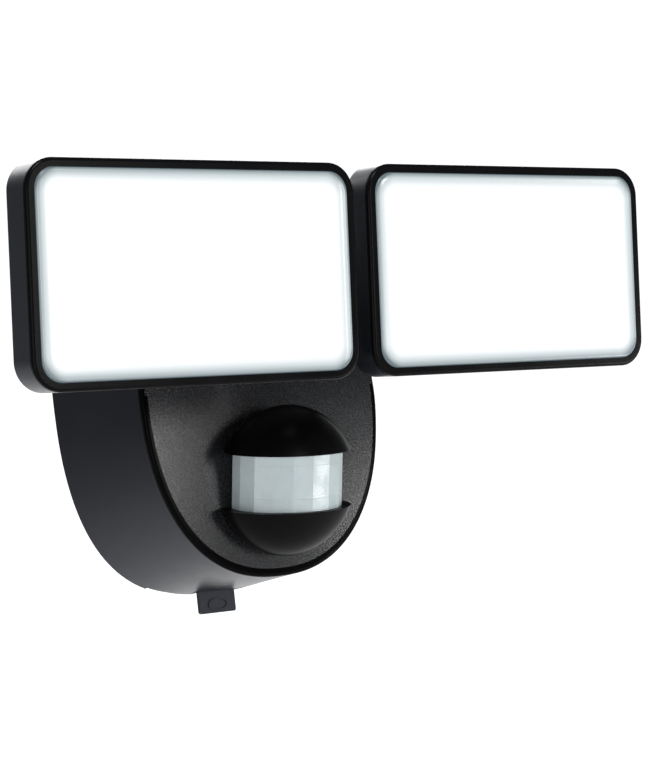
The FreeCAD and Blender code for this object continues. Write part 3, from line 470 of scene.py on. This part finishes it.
def add_sensor_lens():
    """The lens band, which looks down a little with the dome."""
    place = Matrix.Translation((0, -DOME_FORWARD * MM, DOME_LEVEL * MM))
    place = place @ Matrix.Rotation(math.radians(DOME_TILT), 4, "X")
    piece = new_piece("sensor_lens_band", band_shape, place, "housing", "sensor_lens", "lens_film")
    wall = piece.modifiers.new("wall", "SOLIDIFY")
    wall.thickness = BAND_SKIN * MM
    wall.offset = -1.0


# ---------------------------------------------------------------- stage, lights, camera

# Angles in radians, places and levels in metres, and the focal length in millimetres.
CAMERA_YAW = math.radians(36.33)
CAMERA_PITCH = math.radians(4.51)
CAMERA_ROLL = math.radians(6.22)
CAMERA_PLACE = Vector((-0.5129, -0.7888, -0.0878))
FOCAL_LENGTH = 106.98
FLOOR_LEVEL = -0.42


def camera_axes():
    """The camera's right, up and forward directions."""
    flat = math.cos(CAMERA_PITCH)
    sideways = math.sin(CAMERA_YAW)
    onwards = math.cos(CAMERA_YAW)
    forward = Vector((sideways * flat, onwards * flat, math.sin(CAMERA_PITCH)))
    level = Vector((onwards, -sideways, 0))
    above = level.cross(forward)
    right = level * math.cos(CAMERA_ROLL) - above * math.sin(CAMERA_ROLL)
    up = level * math.sin(CAMERA_ROLL) + above * math.cos(CAMERA_ROLL)
    return right, up, forward


def add_camera():
    """The camera, at the photograph's viewing angle."""
    right, up, forward = camera_axes()
    data = bpy.data.cameras.new("camera")
    data.lens = FOCAL_LENGTH
    data.sensor_width = 36.0
    camera = bpy.data.objects.new("camera", data)
    turn = Matrix((right, up, -forward)).transposed().to_4x4()
    camera.matrix_world = Matrix.Translation(CAMERA_PLACE) @ turn
    bpy.context.scene.collection.objects.link(camera)
    bpy.context.scene.camera = camera


def add_light(name, place, target, width, height, power):
    """A rectangular softbox that faces a target."""
    data = bpy.data.lights.new(name, "AREA")
    data.shape = "RECTANGLE"
    data.size = width
    data.size_y = height
    data.energy = power
    light = bpy.data.objects.new(name, data)
    light.location = place
    light.rotation_euler = (Vector(target) - Vector(place)).to_track_quat("-Z", "Y").to_euler()
    bpy.context.scene.collection.objects.link(light)


def add_floor():
    """A pale square floor well below the light."""
    reach = 1.5
    mesh = bpy.data.meshes.new("floor")
    signs = ((-1, -1), (1, -1), (1, 1), (-1, 1))
    corners = [(x_sign * reach, y_sign * reach, FLOOR_LEVEL) for x_sign, y_sign in signs]
    mesh.from_pydata(corners, [], [(0, 1, 2, 3)])
    floor = bpy.data.objects.new("floor", mesh)
    bpy.context.scene.collection.objects.link(floor)
    material, tree, shader = new_material("floor_white", (0.90, 0.90, 0.90), 0.9)
    tint(tree, noise(tree, 3.0), shader.inputs["Base Color"], (0.88, 0.88, 0.88), (0.92, 0.92, 0.92))
    mesh.materials.append(material)


def add_surround():
    """A studio sweep: white behind and below the light, softer grey on the other sides."""
    grey = 0.20
    view_direction = camera_axes()[2]
    world = bpy.data.worlds.new("surround")
    world.use_nodes = True
    tree = world.node_tree
    place = tree.nodes.new("ShaderNodeTexCoord")
    toward = tree.nodes.new("ShaderNodeVectorMath")
    toward.operation = "DOT_PRODUCT"
    toward.inputs[1].default_value = view_direction
    tree.links.new(place.outputs["Generated"], toward.inputs[0])
    parts = tree.nodes.new("ShaderNodeSeparateXYZ")
    tree.links.new(place.outputs["Generated"], parts.inputs["Vector"])
    back = math_node(tree, "MULTIPLY", parts.outputs["Y"], 0.55)
    low_back = math_node(tree, "SUBTRACT", back, parts.outputs["Z"])
    total = grey
    # What grows brighter, where it starts and stops growing, and by how much.
    glows = ((toward.outputs["Value"], 0.72, 0.94, 0.9), (low_back, 0.30, 1.0, 1.4))
    for value, start, end, strength in glows:
        ramp = tree.nodes.new("ShaderNodeMapRange")
        ramp.interpolation_type = "SMOOTHSTEP"
        ramp.inputs["From Min"].default_value = start
        ramp.inputs["From Max"].default_value = end
        ramp.inputs["To Max"].default_value = strength
        tree.links.new(value, ramp.inputs["Value"])
        total = math_node(tree, "ADD", ramp.outputs["Result"], total)
    background = tree.nodes["Background"]
    background.inputs["Color"].default_value = (0.96, 0.98, 1.0, 1.0)
    tree.links.new(total, background.inputs["Strength"])
    bpy.context.scene.world = world


def add_lights():
    """Softboxes: name, place, target, width, height and watts."""
    middle = (0, -0.06, -0.02)
    sensor = (0, -0.07, -0.05)
    floor_behind = (0.3, 0.8, FLOOR_LEVEL)
    add_light("face_box", (0.28, -1.10, -0.04), middle, 0.14, 0.4, 2.6)
    add_light("facet_box", (0.80, -0.66, -0.25), sensor, 0.10, 0.35, 2.6)
    add_light("key_box", (-0.25, -0.85, 0.85), middle, 0.25, 0.25, 10)
    add_light("left_fill", (-1.0, -0.8, -0.15), middle, 0.6, 0.6, 3.2)
    add_light("floor_wash", (0.3, 0.9, 0.5), floor_behind, 1.0, 0.8, 16)


paint_nodes()
add_diffusers()
add_sensor_lens()
add_floor()
add_surround()
add_lights()
add_camera()
bpy.context.scene.view_settings.view_transform = "Standard"
